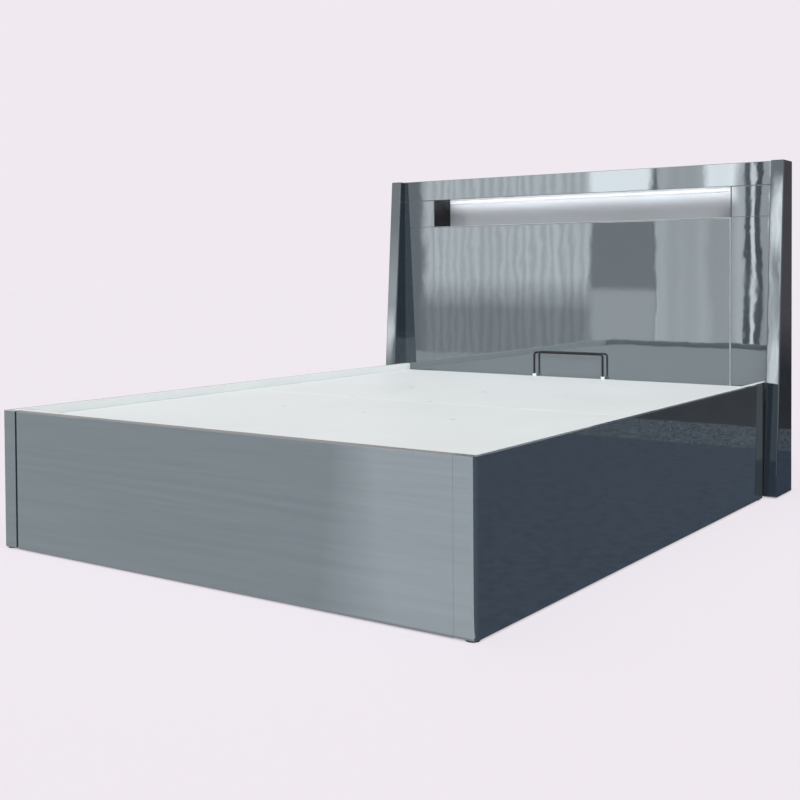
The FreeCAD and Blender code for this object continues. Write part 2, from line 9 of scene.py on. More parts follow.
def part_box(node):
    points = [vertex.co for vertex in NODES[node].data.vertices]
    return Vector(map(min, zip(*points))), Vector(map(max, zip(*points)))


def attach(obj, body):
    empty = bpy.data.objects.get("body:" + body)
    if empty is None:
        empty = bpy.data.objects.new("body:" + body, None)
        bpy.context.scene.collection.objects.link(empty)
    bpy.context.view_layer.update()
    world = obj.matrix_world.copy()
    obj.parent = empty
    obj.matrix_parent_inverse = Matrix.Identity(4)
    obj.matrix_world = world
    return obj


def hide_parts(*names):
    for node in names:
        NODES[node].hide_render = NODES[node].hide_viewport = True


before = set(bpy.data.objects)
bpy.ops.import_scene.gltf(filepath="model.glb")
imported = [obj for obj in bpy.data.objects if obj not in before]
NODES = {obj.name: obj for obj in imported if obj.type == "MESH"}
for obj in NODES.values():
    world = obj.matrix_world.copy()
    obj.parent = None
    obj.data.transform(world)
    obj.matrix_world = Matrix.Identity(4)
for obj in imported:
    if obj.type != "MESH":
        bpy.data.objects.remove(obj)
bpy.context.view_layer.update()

bl_info = {
    "name": "Ottoman bed dressing",
    "version": (1, 0, 0),
    "blender": (4, 5, 0),
    "location": "View3D > Sidebar > Bed",
    "description": "Finishes, fasteners and studio of a gloss grey ottoman bed",
    "category": "Object",
}

# Refraction of the lacquers, which sets how strongly they mirror
PANEL_GLOSS, PILLAR_GLOSS, LINING_GLOSS = 2.7, 2.0, 1.5
RAW_EDGE_ROUGH = 0.6
# Ledgers along the sides lie within this distance of the outermost ledger face
SIDE_LEDGER_DEPTH = 0.0181
# Where the lit line lies round the light cover, and how far it fades to each side
LIT_LINE, LIT_LINE_FADE = math.radians(42), math.radians(30)

# Factor, first, second and result sockets of a Mix node
MIX_SOCKETS = {"RGBA": (0, 6, 7, 2), "VECTOR": (0, 4, 5, 1)}
SAME_POINT, SAME_LEVEL = 1e-6, 1e-5
SHARP_ANGLE = math.radians(35)

FASTENER_SIZES = (
    "Head radius", "Head height", "Recess width", "Recess depth", "Shank radius", "Shank length")
DOME_RINGS, SHANK_SIDES, HEXAGON = 14, 14, 6
# Parts of a head's radius: its flat top and a cross recess
FLAT_TOP, CROSS_REACH = 0.93, 1.1
# Parts of a head's height: the lift of its body and the root of its shank
BODY_LIFT, SHANK_ROOT = 0.51, 0.2
# Parts of a weld bead's radius: how far a seam stays off a tube's lower and upper side
SEAM_LOW, SEAM_HIGH = 0.4, 1.3
BEAD_SIZES = (0.85, 1.1)

FLOOR_REACH = 60.0
# Part of the backdrop's colour at which the lit floor looks as pale as the backdrop
FLOOR_SHARE = 0.947
SKY_TINT = (0.97, 0.985, 1.0, 1.0)
KEY_PLACE = (0.0, -4.0, 3.0)
# The niche's lamp: its height, how far it lies before the cover and below its top, and the way its back faces
LAMP_HEIGHT, LAMP_AHEAD, LAMP_BELOW = 0.006, 0.028, 0.005
LAMP_BACK = (0.0, -0.95, 0.3)
SENSOR_WIDTH, VIEW_REACH = 36.0, 200.0

# The wall before the foot: where it stands, and the heights of an area that spans it
WALL_Y, WALL_TOP, WHOLE_HEIGHT = -4.6, 5.0, (-1.0, 6.0)
# Where the areas of that wall begin, from left to right
FAR_LEFT_X, LEFT_X, FOLDS_X, FIELD_X = -9.0, -4.63, -4.40, -2.57
BANDS_X, SIDE_X, END_X, FAR_RIGHT_X = -1.95, -0.955, -0.55, 9.0
LEAST_LIGHT = 0.1
# Across and along parts of the slanting line on the floor before the foot
SLANT_ACROSS, SLANT_ALONG = 0.797, 0.604
# Heights of the floor cards, the dark wall and its skirting, the cards' right end, and the pale floor's ends
CARD_HEIGHT, DARK_WALL_TOP, SKIRTING_TOP, CARD_REACH = 0.002, 2.6, 0.1, 6.0
LIT_FLOOR_X = (-7.0, 1.6)
# Gaps from the cards to the foot, the right rail, the headboard's back and the dark wall
FOOT_GAP, RAIL_GAP, REAR_GAP, SKIRTING_GAP = 0.02, 0.004, 0.84, 0.01
# The dark floor before the foot: overlap and lift over the other, and the ends of its slanting left edge
FRONT_OVERLAP, FRONT_LIFT, FRONT_NEAR, FRONT_FAR = 0.03, 0.001, 0.01, 1.5


def colour(name, description, default):
    return FloatVectorProperty(
        name=name, description=description, subtype="COLOR", size=3, min=0.0, max=1.0, default=default)


def length(name, description, default):
    return FloatProperty(
        name=name, description=description, unit="LENGTH", min=0.0, precision=4, default=default)


def amount(name, description, default, **limits):
    return FloatProperty(name=name, description=description, min=0.0, default=default, **limits)


def angle(name, description, degrees):
    return FloatProperty(name=name, description=description, subtype="ANGLE", default=math.radians(degrees))


class BedFinishes(bpy.types.PropertyGroup):
    """Colours and gloss of the bed's surfaces"""
    lacquer: colour("Lacquer", "Base under the gloss of the panels, posts and rails", (0.042, 0.054, 0.064))
    # The pillars' base is a darker copy of the panels' lacquer: painted shade on the pillars
    pillar: colour("Pillar lacquer", "Base under the gloss of the pillars", (0.018, 0.025, 0.034))
    sheen: colour("Lacquer sheen", "Tint of the lacquer's reflections", (0.88, 0.96, 1.0))
    raw_edge: colour("Raw edge", "Uncoated top edge of the foot panel", (0.110, 0.088, 0.062))
    # Pale colour on the side and top faces of the headboard's middle panel: a painted highlight along its
    # edges
    painted_edge_highlight: colour("Edge band", "Pale band round the headboard's middle panel", (0.58, 0.61, 0.64))
    melamine: colour("Melamine", "White of the deck and the carcass", (0.712, 0.742, 0.742))
    niche: colour("Niche lining", "Back, shelf and ceiling of the niche", (0.285, 0.297, 0.315))
    acrylic: colour("Acrylic", "Black ends of the niche", (0.009, 0.009, 0.010))
    pine: colour("Pine", "Battens and ledgers", (0.56, 0.39, 0.22))
    hardboard: colour("Hardboard", "Back of the headboard", (0.20, 0.135, 0.085))
    powder: colour("Powder coat", "Black of the lift linkage, frame and hoop", (0.009, 0.009, 0.010))
    zinc: colour("Zinc", "Brackets, pins, screws and bolts", (0.66, 0.67, 0.69))
    chrome: colour("Chrome", "Rods of the gas struts", (0.80, 0.81, 0.83))
    anodised: colour("Anodised", "Profile of the light strip", (0.75, 0.76, 0.77))
    trim: colour("Black trim", "Shadow strips and glides", (0.012, 0.012, 0.013))
    socket: colour("Hoop sockets", "White sockets of the mattress hoop", (0.68, 0.69, 0.70))
    light_power: amount("Light line", "Brightness of the lit line along the cover", 0.42)
    light_haze: amount("Light haze", "Brightness of the cover beside that line", 0.15)


class BedFasteners(bpy.types.PropertyGroup):
    """Sizes of the screws, bolts, pins and welds"""
    screw_height: length("Screw head", "Height of a screw head", 0.0024)
    screw_recess: length("Screw recess", "Width of the cross in a screw head", 0.0011)
    screw_depth: length("Screw recess depth", "Depth of the cross in a screw head", 0.0013)
    screw_shank: length("Screw shank", "Radius of a screw's shank", 0.0018)
    screw_length: length("Screw length", "Length of a screw's shank", 0.012)
    deck_height: length("Deck bolt head", "Height of a deck bolt's head", 0.0016)
    socket_width: length("Bolt socket", "Hexagon socket of a deck bolt, across its corners", 0.0058)
    socket_depth: length("Bolt socket depth", "Depth of the socket in a deck bolt", 0.0012)
    deck_shank: length("Deck bolt shank", "Radius of a deck bolt's shank", 0.003)
    hex_radius: length("Hexagon head", "Radius of a headboard bolt's head, to its corners", 0.009)
    hex_height: length("Hexagon head height", "Height of a headboard bolt's head", 0.005)
    hex_shank: length("Headboard bolt shank", "Radius of a headboard bolt's shank", 0.004)
    rivet_radius: length("Rivet dome", "Radius of the peened dome on a pivot pin", 0.0045)
    rivet_rise: length("Rivet rise", "Height of the peened dome on a pivot pin", 0.0006)
    rivet_root: length("Rivet root", "Radius of the dome's root in the pin", 0.003)
    rivet_depth: length("Rivet depth", "Length of the dome's root in the pin", 0.0012)
    weld_radius: length("Weld bead", "Radius of a weld bead", 0.0022)
    turn_seed: IntProperty(name="Turn seed", description="Seed for the turn of each fastener", default=7)


class BedStudio(bpy.types.PropertyGroup):
    """Camera, light and background"""
    backdrop: colour("Backdrop", "Pale background", (0.8714, 0.8148, 0.8714))
    floor_lift: amount("Floor lift", "Share of the floor's brightness that shadows leave", 0.5, max=1.0)
    sun_power: amount("Key light", "Strength of the soft key light", 3.55)
    sun_spread: angle("Key softness", "Apparent size of the key light", 28)
    sun_back: FloatVectorProperty(
        name="Key direction", description="Way from the bed to the key light", subtype="XYZ", size=3,
        default=(0.42, -0.72, 0.55))
    niche_power: amount("Niche light", "Power of the light that the strip throws into the niche", 0.79)
    sky_low: amount("Sky at the horizon", "World light at the horizon", 0.12)
    sky_high: amount("Sky overhead", "World light overhead", 0.75)
    camera_place: FloatVectorProperty(
        name="Camera", description="Where the camera stands", subtype="XYZ", unit="LENGTH", size=3,
        default=(2.0764, -3.2084, 0.7890))
    camera_yaw: angle("Yaw", "Turn to the left", 35.1623)
    camera_pitch: angle("Pitch", "Tilt down", 1.4186)
    camera_roll: angle("Roll", "Tilt to the side", -0.3673)
    camera_lens: amount("Lens", "Focal length in millimetres", 52.928)
    camera_shift: FloatVectorProperty(
        name="Shift", description="Lens shift across and up", size=2, precision=4, default=(0.0095, -0.1235))


class Tree:
    """Adds nodes to one node tree and links them as it goes"""

    def __init__(self, tree):
        self.tree = tree

    def add(self, kind, links=None, **settings):
        node = self.tree.nodes.new(kind)
        for name, value in settings.items():
            setattr(node, name, value)
        for key, value in (links or {}).items():
            self.join(value, node.inputs[key])
        return node

    def join(self, value, socket):
        if isinstance(value, bpy.types.NodeSocket):
            self.tree.links.new(value, socket)
        else:
            socket.default_value = value

    def calc(self, operation, first, second=0.0):
        return self.add("ShaderNodeMath", {0: first, 1: second}, operation=operation).outputs["Value"]


class Finish(Tree):
    """One procedural material on Object coordinates"""

    def __init__(self, name):
        self.material = bpy.data.materials.new(name)
        self.material.use_nodes = True
        super().__init__(self.material.node_tree)
        self.tree.nodes.clear()
        self.place = self.add("ShaderNodeTexCoord").outputs["Object"]
        self.shader = self.add("ShaderNodeBsdfPrincipled")
        self.add("ShaderNodeOutputMaterial", {"Surface": self.shader.outputs["BSDF"]})

    def stretched(self, stretch):
        return self.add("ShaderNodeMapping", {"Vector": self.place, "Scale": stretch}).outputs["Vector"]

    def noise(self, scale, detail=2.0, rough=0.5, place=None, warp=0.0):
        return self.add("ShaderNodeTexNoise", {
            "Vector": place or self.place, "Scale": scale, "Detail": detail, "Roughness": rough,
            "Distortion": warp}).outputs["Fac"]

    def spread(self, value, low, high, start=0.3, end=0.7, **settings):
        return self.add("ShaderNodeMapRange", {
            "Value": value, "From Min": start, "From Max": end, "To Min": low, "To Max": high},
            **settings).outputs["Result"]

    def mix(self, kind, factor, first, second):
        node = self.add("ShaderNodeMix", data_type=kind)
        *given, result = MIX_SOCKETS[kind]
        for index, value in zip(given, (factor, first, second)):
            self.join(value, node.inputs[index])
        return node.outputs[result]

    def blend(self, factor, first, second):
        return self.mix("RGBA", factor, first, second)

    def relief(self, height, depth, under=None):
        links = {"Height": height, "Strength": 1.0, "Distance": depth}
        if under:
            links["Normal"] = under
        return self.add("ShaderNodeBump", links).outputs["Normal"]

    def axis(self, which, place=None):
        return self.add("ShaderNodeSeparateXYZ", {"Vector": place or self.place}).outputs[which]

    def facing(self, which):
        return self.axis(which, self.add("ShaderNodeNewGeometry").outputs["Normal"])

    def put(self, links):
        for key, value in links.items():
            self.join(value, self.shader.inputs[key])
        return self.material


def shade(base, factor=1.0):
    """Opaque colour, lighter or darker than its base by a factor"""
    return tuple(min(1.0, c * factor) for c in base) + (1.0,)


def lacquer(name, base, sheen, edge=None, rough=(0.012, 0.035), ior=PANEL_GLOSS):
    """Mirror lacquer: a slow drift of tone, wiped smears, and the wave of a pressed panel in its reflections.
    An edge is an axis, the least part of the normal along it, and the colour of the faces that have it. The
    foot panel uses it for its raw top edge, the headboard's middle panel for a painted highlight on its
    edges."""
    f = Finish(name)
    drift = f.spread(f.noise(1.3, detail=3.0), 0.0, 1.0)
    tone = f.blend(drift, shade(base, 0.96), shade(base, 1.05))
    wiped = f.stretched((1.0, 1.0, 0.4))
    smear = f.spread(f.noise(7.0, detail=5.0, rough=0.6, place=wiped, warp=0.6), *rough)
    if edge:
        axis, least, edge_colour = edge
        edge_faces = f.calc("GREATER_THAN", f.facing(axis), least)
        fibre = f.blend(f.noise(260.0, detail=3.0), shade(edge_colour, 0.75), shade(edge_colour, 1.3))
        tone = f.blend(edge_faces, tone, fibre)
        smear = f.calc("MAXIMUM", smear, f.calc("MULTIPLY", edge_faces, RAW_EDGE_ROUGH))
    pressed = f.stretched((1.0, 1.0, 0.7))
    wave = f.relief(f.noise(10.0, detail=1.0, rough=0.4, place=pressed), depth=0.00022)
    ripple = f.relief(f.noise(34.0, detail=1.0), depth=0.000022, under=wave)
    peel = f.relief(f.noise(330.0, detail=1.0), depth=0.0000015, under=ripple)
    return f.put({
        "Base Color": tone, "Roughness": smear, "IOR": ior, "Specular Tint": shade(sheen), "Normal": peel})


def melamine(name, base):
    """White melamine: soft satin with a fine pebble and faint handling marks"""
    f = Finish(name)
    cloud = f.spread(f.noise(2.4, detail=4.0, rough=0.55), 0.0, 1.0)
    speck = f.spread(f.noise(900.0, detail=1.0), 0.0, 1.0, 0.62, 0.75)
    tone = f.blend(cloud, shade(base, 0.975), shade(base, 1.02))
    tone = f.blend(f.calc("MULTIPLY", speck, 0.12), tone, shade(base, 0.8))
    handled = f.noise(5.0, detail=5.0, rough=0.6, warp=0.5)
    return f.put({
        "Base Color": tone, "Roughness": f.spread(handled, 0.46, 0.60), "IOR": 1.45,
        "Specular IOR Level": 0.12, "Normal": f.relief(f.noise(620.0), depth=0.000012)})


def timber(name, base, turned_beyond=None):
    """Planed softwood with its grain along X, and along Y on pieces beyond a distance from the middle"""
    f = Finish(name)
    grain = f.stretched((1.1, 16.0, 22.0))
    if turned_beyond:
        outside = f.calc("GREATER_THAN", f.calc("ABSOLUTE", f.axis("X")), turned_beyond)
        grain = f.mix("VECTOR", outside, grain, f.stretched((16.0, 1.1, 22.0)))
    ring = f.add("ShaderNodeTexWave", {
        "Vector": grain, "Scale": 1.6, "Distortion": 5.0, "Detail": 3.0, "Detail Scale": 1.2},
        bands_direction="Z").outputs["Fac"]
    fibre = f.noise(14.0, detail=4.0, rough=0.65, place=grain)
    tone = f.blend(ring, shade(base, 0.72), shade(base, 1.12))
    tone = f.blend(f.calc("MULTIPLY", f.spread(fibre, 0.0, 1.0), 0.35), tone, shade(base, 0.6))
    return f.put({
        "Base Color": tone, "Roughness": f.spread(fibre, 0.5, 0.68),
        "Normal": f.relief(fibre, depth=0.00012)})


def hardboard(name, base):
    """Pressed fibre board with flecks"""
    f = Finish(name)
    fleck = f.noise(230.0, detail=5.0, rough=0.7, warp=0.8)
    tone = f.blend(f.spread(fleck, 0.0, 1.0), shade(base, 0.7), shade(base, 1.25))
    cloud = f.calc("MULTIPLY", f.noise(3.0, detail=3.0), 0.4)
    tone = f.blend(cloud, tone, shade(base, 0.85))
    return f.put({
        "Base Color": tone, "Roughness": f.spread(fleck, 0.48, 0.66),
        "Normal": f.relief(fleck, depth=0.00005)})


def moulded(name, base, rough):
    """Moulded plastic with a fine spark-eroded grain"""
    f = Finish(name)
    grit = f.noise(900.0)
    tone = f.blend(f.noise(14.0, detail=3.0), shade(base, 0.85), shade(base, 1.15))
    return f.put({
        "Base Color": tone, "Roughness": f.spread(grit, *rough), "Normal": f.relief(grit, depth=0.00003)})


def acrylic(name, base, front):
    """Black acrylic lining, a little dusty, with the lacquer of the panels on its front edge"""
    f = Finish(name)
    dust = f.spread(f.noise(520.0), 0.0, 1.0, 0.66, 0.8)
    tone = f.blend(f.calc("MULTIPLY", dust, 0.08), shade(base), (0.25, 0.25, 0.26, 1.0))
    tone = f.blend(f.calc("LESS_THAN", f.facing("Y"), -0.5), tone, shade(front))
    wiped = f.spread(f.noise(12.0, detail=4.0), 0.22, 0.30)
    return f.put({
        "Base Color": tone, "Roughness": f.calc("ADD", wiped, f.calc("MULTIPLY", dust, 0.2)), "IOR": 1.3,
        "Normal": f.relief(f.noise(9.0, detail=1.0), depth=0.0001)})


def powder_coat(name, base):
    """Powder-coated steel: orange peel, with the coat a little thinner on rubbed spots"""
    f = Finish(name)
    rub = f.spread(f.noise(38.0, detail=5.0, rough=0.65), 0.0, 1.0, 0.58, 0.74)
    tone = f.blend(f.calc("MULTIPLY", rub, 0.5), shade(base), shade(base, 2.4))
    return f.put({
        "Base Color": tone, "Roughness": f.spread(f.noise(60.0, detail=4.0), 0.34, 0.50), "IOR": 1.35,
        "Normal": f.relief(f.noise(640.0), depth=0.00004)})


def plated(name, base, rough, along=(1.0, 1.0, 1.0), spangle=260.0):
    """Plated metal: crystal spangle and drawn scratches"""
    f = Finish(name)
    cells = f.add("ShaderNodeTexVoronoi", {"Vector": f.place, "Scale": spangle}).outputs["Color"]
    grey = f.add("ShaderNodeRGBToBW", {"Color": cells}).outputs["Val"]
    scratch = f.noise(40.0, detail=4.0, rough=0.7, place=f.stretched(along))
    tone = f.blend(grey, shade(base, 0.88), shade(base, 1.06))
    return f.put({
        "Base Color": tone, "Metallic": 1.0, "Roughness": f.spread(scratch, *rough),
        "Normal": f.relief(scratch, depth=0.000012)})


def lit_cover(name, corner, power, haze):
    """Opal quarter-round cover, brightest along the line where the diodes sit behind it"""
    f = Finish(name)
    cloud = f.noise(22.0, place=f.stretched((1.0, 4.0, 4.0)))
    tone = f.blend(cloud, (0.26, 0.27, 0.28, 1.0), (0.30, 0.31, 0.32, 1.0))
    ahead = f.calc("SUBTRACT", corner.y, f.axis("Y"))
    below = f.calc("SUBTRACT", corner.z, f.axis("Z"))
    off = f.calc("ABSOLUTE", f.calc("SUBTRACT", f.calc("ARCTAN2", below, ahead), LIT_LINE))
    line = f.spread(off, power, haze, 0.0, LIT_LINE_FADE, interpolation_type="SMOOTHERSTEP")
    return f.put({
        "Base Color": tone, "Roughness": f.spread(cloud, 0.42, 0.55),
        "Emission Color": (0.93, 0.97, 1.0, 1.0), "Emission Strength": line})


def coat(material, *names):
    """Gives the named CAD nodes one finish"""
    for name in names:
        slots = NODES[name].data.materials
        slots.clear()
        slots.append(material)


def solids_of(node):
    """Vertex lists of the separate solids in one CAD node, in a fixed order"""
    mesh = bmesh.new()
    mesh.from_mesh(NODES[node].data)
    bmesh.ops.remove_doubles(mesh, verts=mesh.verts, dist=SAME_POINT)
    mesh.verts.ensure_lookup_table()
    left = set(range(len(mesh.verts)))
    solids = []
    for start in range(len(mesh.verts)):
        if start not in left:
            continue
        left.discard(start)
        stack, found = [mesh.verts[start]], []
        while stack:
            vert = stack.pop()
            found.append(vert.co.copy())
            for edge in vert.link_edges:
                other = edge.other_vert(vert)
                if other.index in left:
                    left.discard(other.index)
                    stack.append(other)
        solids.append(found)
    mesh.free()
    return sorted(solids, key=lambda s: tuple(round(c, 5) for c in box_of(s)[0]))


def box_of(points):
    low = Vector(min(p[i] for p in points) for i in range(3))
    high = Vector(max(p[i] for p in points) for i in range(3))
    return low, high


def turned_piece(points, long_axis=None):
    """Head direction, head end, length and head radius of one turned fastener"""
    low, high = box_of(points)
    size = high - low
    axis = long_axis if long_axis is not None else max(range(3), key=lambda i: size[i])
    middle = (low + high) / 2
    others = [i for i in range(3) if i != axis]

    def radius_at(value):
        ring = [p for p in points if abs(p[axis] - value) < SAME_LEVEL]
        return max(math.hypot(*(p[i] - middle[i] for i in others)) for p in ring)

    at_high = radius_at(high[axis]) >= radius_at(low[axis])
    way = Vector((0, 0, 0))
    way[axis] = 1.0 if at_high else -1.0
    end = middle.copy()
    end[axis] = high[axis] if at_high else low[axis]
    return {"way": way, "end": end, "length": size[axis], "radius": max(size[i] for i in others) / 2}


class Growth(Tree):
    """One geometry tree with named inputs for its sizes, which sets a shape on points"""

    def __init__(self, name, source, sizes, seed, result):
        super().__init__(bpy.data.node_groups.new(name, "GeometryNodeTree"))
        self.result = result
        self.socket(source, "Geometry")
        for label in sizes:
            self.socket(label, "Float").subtype = "DISTANCE"
        self.socket(seed, "Int")
        self.socket(result, "Geometry", "OUTPUT")
        self.given = self.add("NodeGroupInput").outputs

    def socket(self, label, kind, side="INPUT"):
        return self.tree.interface.new_socket(label, in_out=side, socket_type="NodeSocket" + kind)

    def vector(self, x=0.0, y=0.0, z=0.0):
        return self.add("ShaderNodeCombineXYZ", {"X": x, "Y": y, "Z": z}).outputs["Vector"]

    def moved(self, mesh, up):
        links = {"Geometry": mesh, "Translation": self.vector(z=up)}
        return self.add("GeometryNodeTransform", links).outputs["Geometry"]

    def block(self, x, y, z):
        return self.add("GeometryNodeMeshCube", {"Size": self.vector(x, y, z)}).outputs["Mesh"]

    def cylinder(self, radius, height, count):
        links = {"Vertices": count, "Radius": radius, "Depth": height}
        return self.add("GeometryNodeMeshCylinder", links).outputs["Mesh"]

    def combined(self, operation, first, second):
        node = self.add("GeometryNodeMeshBoolean", operation=operation, solver="EXACT")
        self.join(first, node.inputs["Mesh 1" if operation == "DIFFERENCE" else "Mesh 2"])
        self.join(second, node.inputs["Mesh 2"])
        return node.outputs["Mesh"]

    def random(self, seed, low, high):
        node = self.add("FunctionNodeRandomValue", {"Seed": seed}, data_type="FLOAT")
        least, most = [s for s in node.inputs if s.enabled and s.name in ("Min", "Max")]
        least.default_value, most.default_value = low, high
        return [s for s in node.outputs if s.enabled][0]

    def set_on(self, points, shape, material, links):
        """Sets the shape on every point as a plain mesh, and ends the tree"""
        placed = self.add("GeometryNodeInstanceOnPoints", {"Points": points, "Instance": shape, **links})
        plain = self.add("GeometryNodeRealizeInstances", {"Geometry": placed.outputs["Instances"]})
        named = self.add("GeometryNodeSetMaterial", {
            "Geometry": plain.outputs["Geometry"], "Material": material})
        self.add("NodeGroupOutput", {self.result: named.outputs["Geometry"]})
        return self.tree


def domed_head(g, radius, height, sides):
    """Upper half of a ball, flattened to the head's height"""
    ball = g.add("GeometryNodeMeshUVSphere", {"Segments": sides, "Rings": DOME_RINGS, "Radius": 1.0})
    links = {"Geometry": ball.outputs["Mesh"], "Scale": g.vector(radius, radius, height)}
    ball = g.add("GeometryNodeTransform", links).outputs["Geometry"]
    wide = g.calc("MULTIPLY", radius, 4.0)
    upper = g.moved(g.block(wide, wide, wide), g.calc("MULTIPLY", wide, 0.5))
    return g.combined("INTERSECT", ball, upper)


def sloped_head(g, radius, height, count, sides):
    """Flat head with the given count of corners, its upper rim sloped off"""
    top = g.calc("MULTIPLY", radius, FLAT_TOP)
    cone = g.add("GeometryNodeMeshCone", {
        "Vertices": sides, "Radius Top": top, "Radius Bottom": g.calc("ADD", top, height),
        "Depth": height}).outputs["Mesh"]
    body = g.moved(g.cylinder(radius, height, count), g.calc("MULTIPLY", height, BODY_LIFT))
    return g.combined("INTERSECT", body, cone)


def recess_tool(g, recess, radius):
    """Cross or hexagon, twice as deep as the recess that it cuts"""
    width, depth = g.given["Recess width"], g.calc("MULTIPLY", g.given["Recess depth"], 2.0)
    if recess == "hex":
        return g.cylinder(g.calc("MULTIPLY", width, 0.5), depth, HEXAGON)
    reach = g.calc("MULTIPLY", radius, CROSS_REACH)
    return g.combined("UNION", g.block(reach, width, depth), g.block(width, reach, depth))


def fastener_tree(name, shape, recess, material, sides=28):
    """Geometry tree that sets one fastener on every point, with its head's top along the point's axis"""
    g = Growth(name, "Places", FASTENER_SIZES, "Turn seed", "Fasteners")
    radius, height = g.given["Head radius"], g.given["Head height"]
    if shape == "dome":
        head = domed_head(g, radius, height, sides)
    else:
        head = sloped_head(g, radius, height, HEXAGON if shape == "hex" else sides, sides)
    if recess:
        head = g.combined("DIFFERENCE", head, g.moved(recess_tool(g, recess, radius), height))
    shank = g.cylinder(g.given["Shank radius"], g.given["Shank length"], SHANK_SIDES)
    root = g.calc("MULTIPLY", height, SHANK_ROOT)
    middle = g.calc("SUBTRACT", root, g.calc("MULTIPLY", g.given["Shank length"], 0.5))
    whole = g.combined("UNION", head, g.moved(shank, middle))
    whole = g.moved(whole, g.calc("MULTIPLY", height, -1.0))
    axis = g.add("GeometryNodeInputNamedAttribute", {"Name": "axis"}, data_type="FLOAT_VECTOR")
    raised = g.add("FunctionNodeAlignRotationToVector", {"Vector": axis.outputs["Attribute"]}, axis="Z")
    turn = g.add("FunctionNodeAxisAngleToRotation", {
        "Axis": (0.0, 0.0, 1.0), "Angle": g.random(g.given["Turn seed"], 0.0, math.pi / 2)})
    rotation = g.add("FunctionNodeRotateRotation", {
        "Rotation": raised.outputs["Rotation"], "Rotate By": turn.outputs["Rotation"]},
        rotation_space="LOCAL")
    return g.set_on(g.given["Places"], whole, material, {"Rotation": rotation.outputs["Rotation"]})


def weld_tree(name, material):
    """Geometry tree that lays a row of overlapping beads along every edge"""
    g = Growth(name, "Seams", ("Bead radius", "Bead pitch"), "Bead seed", "Welds")
    curve = g.add("GeometryNodeMeshToCurve", {"Mesh": g.given["Seams"]}).outputs["Curve"]
    links = {"Curve": curve, "Length": g.given["Bead pitch"]}
    rows = g.add("GeometryNodeResampleCurve", links, mode="LENGTH").outputs["Curve"]
    links = {"Radius": g.given["Bead radius"], "Subdivisions": 2}
    bead = g.add("GeometryNodeMeshIcoSphere", links).outputs["Mesh"]
    return g.set_on(rows, bead, material, {"Scale": g.random(g.given["Bead seed"], *BEAD_SIZES)})


def grown(name, tree, points, edges, sizes, axes=None):
    """Runs a geometry tree and returns its result as a plain mesh object"""
    mesh = bpy.data.meshes.new(name + "_places")
    mesh.from_pydata([tuple(p) for p in points], edges, [])
    if axes:
        way = mesh.attributes.new("axis", "FLOAT_VECTOR", "POINT")
        way.data.foreach_set("vector", [c for a in axes for c in a])
    piece = bpy.data.objects.new(name, mesh)
    bpy.context.scene.collection.objects.link(piece)
    modifier = piece.modifiers.new("grow", "NODES")
    modifier.node_group = tree
    for item in tree.interface.items_tree:
        if item.in_out == "INPUT" and item.name in sizes:
            modifier[item.identifier] = sizes[item.name]
    evaluated = piece.evaluated_get(bpy.context.evaluated_depsgraph_get())
    result = bpy.data.meshes.new_from_object(evaluated)
    piece.modifiers.remove(modifier)
    if not result.polygons:
        raise RuntimeError(name + " came out empty")
    result.name = name
    result.shade_smooth()
    result.set_sharp_from_angle(angle=SHARP_ANGLE)
    piece.data = result
    return piece


def fit(piece, body, replaced=None):
    """Gives a piece its body and the CAD node that it stands in for"""
    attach(piece, body)
    if replaced:
        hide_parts(replaced)


class BED_OT_lacquer_panels(bpy.types.Operator):
    """Gloss grey lacquer on the foot, rails, posts, pillars and headboard"""
    bl_idname = "bed.lacquer_panels"
    bl_label = "Lacquer panels"

    def execute(self, context):
        look = context.scene.bed_finishes
        gloss = lacquer("gloss_lacquer", look.lacquer, look.sheen)
        coat(gloss, "foot_post_left", "foot_post_right", "side_rail_left", "side_rail_right",
             "head_base_panel", "head_top_panel", "head_side_block_left", "head_side_block_right",
             "head_end_left", "head_end_right", "head_cap")
        # The pillars get the same lacquer with a darker base: painted shade
        dark = lacquer("gloss_lacquer_dark", look.pillar, look.sheen, ior=PILLAR_GLOSS)
        coat(dark, "pillar_left", "pillar_right")
        # The foot panel's top face shows its raw core; the middle panel's faces other than its front get a
        # painted highlight
        raw, highlight = ("Z", 0.98, look.raw_edge), ("Y", -0.6, look.painted_edge_highlight)
        coat(lacquer("gloss_lacquer_raw_edge", look.lacquer, look.sheen, raw), "foot_panel")
        coat(lacquer("gloss_lacquer_edge_band", look.lacquer, look.sheen, highlight), "head_center_panel")
        return {"FINISHED"}


class BED_OT_face_boards(bpy.types.Operator):
    """White melamine on the deck, carcass and storage floor"""
    bl_idname = "bed.face_boards"
    bl_label = "Face white boards"

    def execute(self, context):
        white = melamine("white_melamine", context.scene.bed_finishes.melamine)
        coat(white, "deck_board_front", "deck_board_rear", "carcass_side_left", "carcass_side_right",
             "carcass_foot", "carcass_head", "floor_board_front", "floor_board_rear")
        return {"FINISHED"}


class BED_OT_plane_timber(bpy.types.Operator):
    """Softwood battens and ledgers, and the fibre board behind the headboard"""
    bl_idname = "bed.plane_timber"
    bl_label = "Plane timber"

    def execute(self, context):
        look = context.scene.bed_finishes
        coat(timber("pine_battens", look.pine), "floor_battens", "head_bottom")
        side_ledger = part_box("deck_ledgers")[1].x - SIDE_LEDGER_DEPTH
        coat(timber("pine_ledgers", look.pine, side_ledger), "deck_ledgers")
        coat(hardboard("fibre_board", look.hardboard), "head_back_panel")
        return {"FINISHED"}


